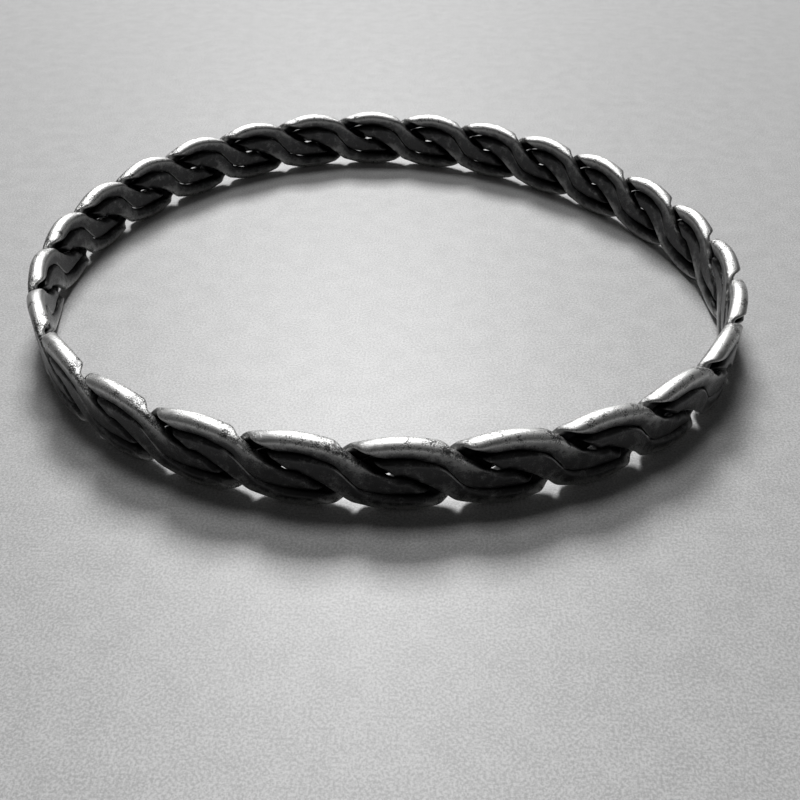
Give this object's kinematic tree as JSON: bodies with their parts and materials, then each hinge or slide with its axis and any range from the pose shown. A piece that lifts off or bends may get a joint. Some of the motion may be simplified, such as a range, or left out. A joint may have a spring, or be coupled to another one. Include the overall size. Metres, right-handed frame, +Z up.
{
  "type": "braided bracelet",
  "caption": "Closed bangle braided from doubled silver wires and rolled flat, with worn bright edges and dark antiqued recesses.",
  "frame": {"origin": "on the surface the bangle lies on, under the middle of its outline", "axes": "+Z up through the loop, -Y towards the viewer of the picture, +X to the viewer's right"},
  "size_m": [0.0688, 0.0664, 0.0067],
  "materials": {
    "antiqued_silver": "hand-worn silver, bright along the rounded edges, dark grey on the flats, near black in the recesses"
  },
  "bodies": {
    "root": {"first_pair_upper_wire": "antiqued_silver", "first_pair_lower_wire": "antiqued_silver", "second_pair_upper_wire": "antiqued_silver", "second_pair_lower_wire": "antiqued_silver"}
  },
  "joints": []
}
